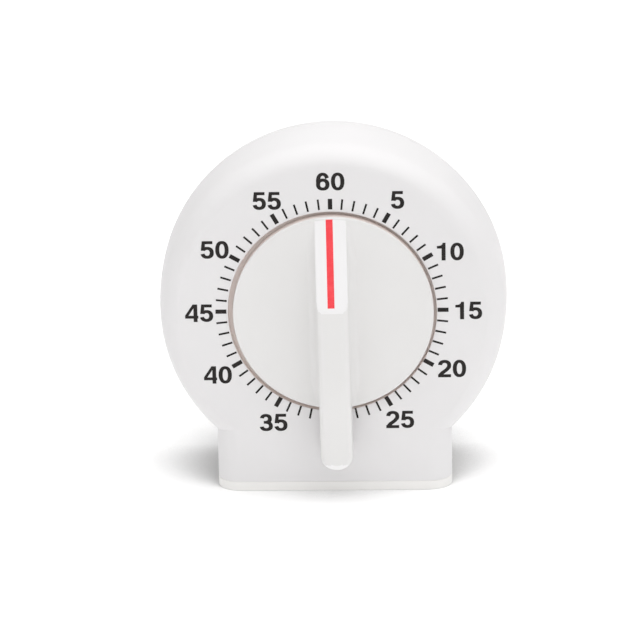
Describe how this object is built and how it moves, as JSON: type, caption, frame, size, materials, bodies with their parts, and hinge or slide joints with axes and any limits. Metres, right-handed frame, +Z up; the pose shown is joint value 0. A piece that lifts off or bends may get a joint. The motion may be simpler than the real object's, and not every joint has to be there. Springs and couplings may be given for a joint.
{
  "type": "kitchen timer",
  "caption": "Clockwork countdown timer: drum case on an integral foot, turning knob with a long overhanging grip, spring and gear train, pallet lever, alarm hammer and bell",
  "frame": {"origin": "centre of the foot's flat underside", "axes": "+Z up, -Y the way the dial faces, +X to the right seen from the front; the knob turns about Y"},
  "size_m": [0.095, 0.0505, 0.0976],
  "materials": {
    "case_plastic": "soft satin gloss",
    "base_plastic": "satin",
    "knob_plastic": "soft satin gloss",
    "index_red": "printed, satin",
    "screw_steel": "zinc plated",
    "plate_brass": "rolled, satin",
    "pillar_steel": "turned",
    "arbor_steel": "turned and polished",
    "spring_steel": "blued, oiled",
    "wheel_brass": "stamped, satin",
    "escape_plastic": "acetal, satin",
    "ratchet_steel": "stamped",
    "lever_plastic": "acetal, satin",
    "weight_steel": "turned",
    "cam_plastic": "acetal, satin",
    "lever_steel": "stamped",
    "bell_steel": "pressed, nickel plated"
  },
  "bodies": {
    "case": {"front_case": "case_plastic", "rear_case": "case_plastic", "base_plate": "base_plastic", "case_screws": "screw_steel", "base_screws": "screw_steel", "front_plate": "plate_brass", "back_plate": "plate_brass", "plate_pillars": "pillar_steel", "pillar_nuts": "screw_steel", "movement_screws": "screw_steel", "hammer_post": "pillar_steel", "hammer_clip": "pillar_steel", "spring_post": "pillar_steel", "hammer_spring": "spring_steel", "bell": "bell_steel", "bell_screw": "screw_steel"},
    "knob": {"dial_knob": "knob_plastic", "pointer_inlay": "index_red", "main_arbor": "arbor_steel", "thrust_washer": "wheel_brass", "great_wheel": "wheel_brass", "ratchet_wheel": "ratchet_steel", "ratchet_clicks": "ratchet_steel", "click_rivets": "pillar_steel", "mainspring": "spring_steel", "alarm_cam": "cam_plastic"},
    "second_arbor": {"second_wheel": "wheel_brass", "second_pinion": "arbor_steel"},
    "third_arbor": {"third_wheel": "wheel_brass", "third_pinion": "arbor_steel"},
    "escape_arbor": {"escape_wheel": "escape_plastic", "escape_pinion": "arbor_steel"},
    "pallet": {"pallet_lever": "lever_plastic", "pallet_pins": "arbor_steel", "pallet_arbor": "arbor_steel", "pallet_weights": "weight_steel"},
    "hammer": {"hammer_lever": "lever_steel", "hammer_head": "weight_steel"}
  },
  "joints": [
    {"name": "knob", "type": "hinge", "parent": "case", "child": "knob", "pos_m": [0, 0, 0.0517], "axis": [0, 1, 0], "range_deg": [0, 360], "deforming": ["mainspring"]},
    {"name": "second_arbor_spin", "type": "hinge", "parent": "case", "child": "second_arbor", "pos_m": [0.01516, 0, 0.04295], "axis": [0, 1, 0], "continuous": true},
    {"name": "third_arbor_spin", "type": "hinge", "parent": "case", "child": "third_arbor", "pos_m": [0.01775, 0, 0.05467], "axis": [0, 1, 0], "continuous": true},
    {"name": "escape_arbor_spin", "type": "hinge", "parent": "case", "child": "escape_arbor", "pos_m": [0.01361, 0, 0.06377], "axis": [0, 1, 0], "continuous": true},
    {"name": "pallet_rock", "type": "hinge", "parent": "case", "child": "pallet", "pos_m": [0.00408, 0, 0.06927], "axis": [0, 1, 0], "range_deg": [-6, 6]},
    {"name": "hammer_swing", "type": "hinge", "parent": "case", "child": "hammer", "pos_m": [-0.02, 0, 0.0477], "axis": [0, -1, 0], "range_deg": [0, 6], "deforming": ["hammer_spring"]}
  ],
  "couplings": [
    {"joint": "second_arbor_spin", "follows": "knob", "ratio": -6},
    {"joint": "third_arbor_spin", "follows": "knob", "ratio": 30},
    {"joint": "escape_arbor_spin", "follows": "knob", "ratio": -120}
  ]
}
